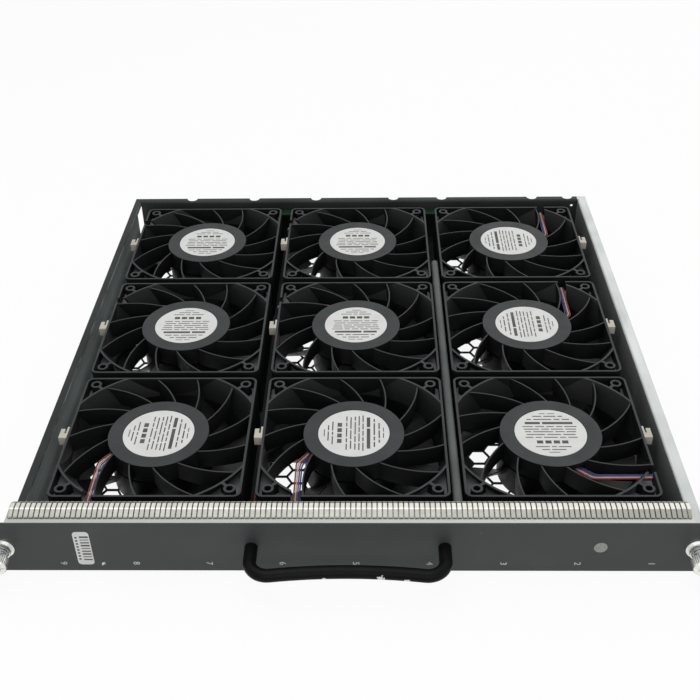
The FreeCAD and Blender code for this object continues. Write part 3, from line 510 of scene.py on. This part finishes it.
def panelSticker():
    s = sticker
    thick = s["thick"] * mm
    bm = bmesh.new()
    addBlock(bm, (s["x"] * mm, panelFace - thick / 2, s["middle"] * mm),
             (s["width"] * mm, thick, s["height"] * mm))
    edges = [e for e in bm.edges if abs(e.verts[0].co.y - e.verts[1].co.y) > thick / 2]
    bmesh.ops.bevel(bm, geom=edges, offset=s["corner"] * mm, segments=s["cornerSteps"], profile=0.5,
                    affect="EDGES", material=-1)
    finishPiece("panelSticker", bm, "label", "tray")
    inkY = panelFace - thick - s["ink"] / 2 * mm
    markWide, markHigh = s["markSize"]
    bars = bmesh.new()
    for index in range(s["bars"]):
        z = s["middle"] + (s["bars"] // 2 - index) * s["barPitch"]
        barHigh = s["barThick"][index % len(s["barThick"])]
        addBlock(bars, ((s["x"] + s["barX"]) * mm, inkY, z * mm),
                 (s["barWidth"] * mm, s["ink"] * mm, barHigh * mm))
    for index in range(s["marks"]):
        z = s["middle"] + ((s["marks"] - 1) / 2 - index) * s["markPitch"]
        addBlock(bars, ((s["x"] + s["markX"]) * mm, inkY, z * mm),
                 (markWide * mm, s["ink"] * mm, markHigh * mm))
    finishPiece("stickerBars", bars, "print", "tray")


panelSticker()

# rows of blank dashes for print on the fan labels: place, thickness, dash lengths; then each label's turn
labelRows = {"rows": [(19.4, 0.6, (4, 5)), (16.6, 0.9, (6, 8, 3)), (13.4, 0.9, (3, 12, 4, 5)),
                      (9.6, 2.3, (10, 20)), (6.0, 0.8, (7, 6, 5, 4, 8)), (3.4, 0.8, (10, 5, 8, 7)),
                      (0.8, 0.8, (4, 13, 6, 6)),
                      (-2.0, 0.8, (12, 9, 8)), (-4.8, 0.8, (5, 4, 9, 4, 6)), (-9.4, 3.0, (4, 4, 4, 4)),
                      (-14.0, 0.8, (9, 3, 8)), (-16.8, 0.8, (5, 9)), (-19.4, 0.6, (7,))],
             "turns": (-90, -90, 0, 180, 180, 90, 180, 180, 90), "gap": 1.4, "lift": 0.03}


def fanLabelRows():
    n = labelRows
    bm = bmesh.new()
    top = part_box("hub_labels")[1][2]
    for centre, turn in zip(fanCentres, n["turns"]):
        made = []
        for offset, thick, dashes in n["rows"]:
            x = -(sum(dashes) + n["gap"] * (len(dashes) - 1)) / 2
            for length in dashes:
                made += addBlock(bm, ((x + length / 2) * mm, offset * mm, top + n["lift"] * mm / 2),
                                 (length * mm, thick * mm, n["lift"] * mm))
                x += length + n["gap"]
        bmesh.ops.rotate(bm, cent=(0, 0, 0), matrix=Matrix.Rotation(math.radians(turn), 3, "Z"), verts=made)
        bmesh.ops.translate(bm, vec=(centre.x, centre.y, 0), verts=made)
    return finishPiece("fanLabelRows", bm, "print", "tray")


fanLabelRows()
print("numbers, sticker and label rows made")

# straight knurl round the knobs: ridges with an edge outwards
knurl = {"ridges": 34, "side": 0.72, "length": 6.4, "sink": 0.08, "fromFront": 1.8, "edge": 45}


def knobKnurl(side):
    k = knurl
    low, high = corners(side + "_captive_screw")
    axis = Vector(((low.x + high.x) / 2, 0, (low.z + high.z) / 2))
    radius = (high.x - low.x) / 2 - k["sink"] * mm
    middle = low.y + (k["fromFront"] + k["length"] / 2) * mm
    onEdge = Matrix.Rotation(math.radians(k["edge"]), 3, "Y")
    bm = bmesh.new()
    for index in range(k["ridges"]):
        made = addBlock(bm, (0, 0, 0), (k["side"] * mm, k["length"] * mm, k["side"] * mm))
        bmesh.ops.rotate(bm, cent=(0, 0, 0), matrix=onEdge, verts=made)
        bmesh.ops.translate(bm, vec=(radius, 0, 0), verts=made)
        turn = Matrix.Rotation(math.tau * index / k["ridges"], 3, "Y")
        bmesh.ops.rotate(bm, cent=(0, 0, 0), matrix=turn, verts=made)
        bmesh.ops.translate(bm, vec=(axis.x, middle, axis.z), verts=made)
    return finishPiece(side + "KnobKnurl", bm, "nickel", side + "_screw")


knobKnurl("left")
knobKnurl("right")


# coil springs of the captive screws: merged, smooth-shaded copies shown in place of the frame's spring nodes
springMesh = {"merge": 0.001}


def coilSpring(side):
    node = side + "_screw_spring"
    bm = bmesh.new()
    bm.from_mesh(nodes[node].data)
    bmesh.ops.remove_doubles(bm, verts=bm.verts[:], dist=springMesh["merge"] * mm)
    spring = finishPiece(side + "CoilSpring", bm, "zinc", "tray")
    spring.data.shade_smooth()
    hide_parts(node)
    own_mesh(spring)


coilSpring("left")
coilSpring("right")

# gold contacts inside the rear connector's cells
contacts = {"columns": 10, "rows": 2, "pitchX": 5.0, "pitchZ": 7.5, "firstX": -22.5, "firstZ": 13.9,
            "spread": 1.9, "width": 1.6, "length": 7.8, "thick": 0.6, "sink": 6.0}


def rearContacts():
    n = contacts
    bm = bmesh.new()
    for column in range(n["columns"]):
        for line in range(n["rows"]):
            x = plugMid + (n["firstX"] + column * n["pitchX"]) * mm
            z = n["firstZ"] + line * n["pitchZ"]
            for side in (-1, 1):
                addBlock(bm, (x, plugHigh.y - n["sink"] * mm, (z + side * n["spread"]) * mm),
                         (n["width"] * mm, n["length"] * mm, n["thick"] * mm))
    return finishPiece("rearContacts", bm, "contact", "tray")


rearContacts()
print("knurl, springs and contacts made")


# studio: pale floor and white surround, each lit up only for rays that see it straight or mirrored
def seenRay(tree):
    path = addNode(tree, "ShaderNodeLightPath")
    plain = mathOf(tree, "MAXIMUM", path.outputs["Is Camera Ray"], path.outputs["Is Glossy Ray"])
    return mathOf(tree, "MAXIMUM", plain, path.outputs["Is Transmission Ray"])


studio = {"ambient": 0.42, "floorLift": 0.92, "floorSize": 6.0, "floorDrop": 0.0004,
          "floorColour": (0.9, 0.9, 0.9), "floorRough": 0.9}


def studioWorld():
    world = bpy.data.worlds.new("studioWorld")
    bpy.context.scene.world = world
    world.use_nodes = True
    tree = world.node_tree
    background = tree.nodes["Background"]
    tree.links.new(rangeOf(tree, seenRay(tree), 0, 1, studio["ambient"], 1.0), background.inputs["Strength"])
    background.inputs["Color"].default_value = (1, 1, 1, 1)


def studioFloor():
    bm = bmesh.new()
    bmesh.ops.create_grid(bm, x_segments=2, y_segments=2, size=studio["floorSize"])
    mesh = bpy.data.meshes.new("studioFloor")
    bm.to_mesh(mesh)
    bm.free()
    floor = bpy.data.objects.new("studioFloor", mesh)
    floor.location.z = -studio["floorDrop"]
    bpy.context.scene.collection.objects.link(floor)
    material, tree, shader = startMaterial("studioFloor", studio["floorColour"], studio["floorRough"])
    glow = addNode(tree, "ShaderNodeEmission", Color=(1, 1, 1, 1), Strength=1.0)
    mix = addNode(tree, "ShaderNodeMixShader")
    tree.links.new(mathOf(tree, "MULTIPLY", seenRay(tree), studio["floorLift"]), mix.inputs["Fac"])
    tree.links.new(shader.outputs["BSDF"], mix.inputs[1])
    tree.links.new(glow.outputs["Emission"], mix.inputs[2])
    tree.links.new(mix.outputs["Shader"], tree.nodes["Material Output"].inputs["Surface"])
    mesh.materials.append(material)


# soft boxes in metres: place, point they face, size, power
softBoxes = {"keyBox": ((-0.15, -0.1, 1.3), (0, 0, 0), (1.3, 1.0), 9.0),
             "sideBox": ((0.62, 0.95, 0.72), (0.1, 0, 0), (1.2, 0.9), 2.5),
             "frontBox": ((0.1, -1.2, 0.55), (0, -0.1, 0.02), (1.2, 0.5), 3.0)}


def softBox(name, place, target, size, power):
    lamp = bpy.data.lights.new(name, "AREA")
    lamp.shape = "RECTANGLE"
    lamp.size, lamp.size_y = size
    lamp.energy = power
    box = bpy.data.objects.new(name, lamp)
    box.location = place
    box.rotation_euler = (Vector(target) - Vector(place)).to_track_quat("-Z", "Y").to_euler()
    bpy.context.scene.collection.objects.link(box)


# camera set by the fan corners in the photograph: mm from the middle of the fan grid, degrees, pixels
view = {"fromGrid": (11.8, -643.0, 478.5), "yaw": 1.48, "down": 35.76, "roll": -1.04, "focal": 1030.9,
        "imageWidth": 700, "sensor": 36.0, "clipStart": 0.01}


def photoCamera():
    data = bpy.data.cameras.new("photoCamera")
    data.sensor_width = view["sensor"]
    data.lens = view["focal"] / view["imageWidth"] * data.sensor_width
    data.clip_start = view["clipStart"]
    camera = bpy.data.objects.new("photoCamera", data)
    gridMid = Vector((fanCentres[4].x, fanCentres[4].y, 0))
    camera.matrix_world = (Matrix.Translation(gridMid + Vector(view["fromGrid"]) * mm)
                           @ Matrix.Rotation(math.radians(view["yaw"]), 4, "Z")
                           @ Matrix.Rotation(math.radians(90 - view["down"]), 4, "X")
                           @ Matrix.Rotation(math.radians(view["roll"]), 4, "Z"))
    bpy.context.scene.collection.objects.link(camera)
    bpy.context.scene.camera = camera


studioWorld()
studioFloor()
for name, values in softBoxes.items():
    softBox(name, *values)
photoCamera()
bpy.context.scene.view_settings.view_transform = "Standard"
print("studio and camera set")
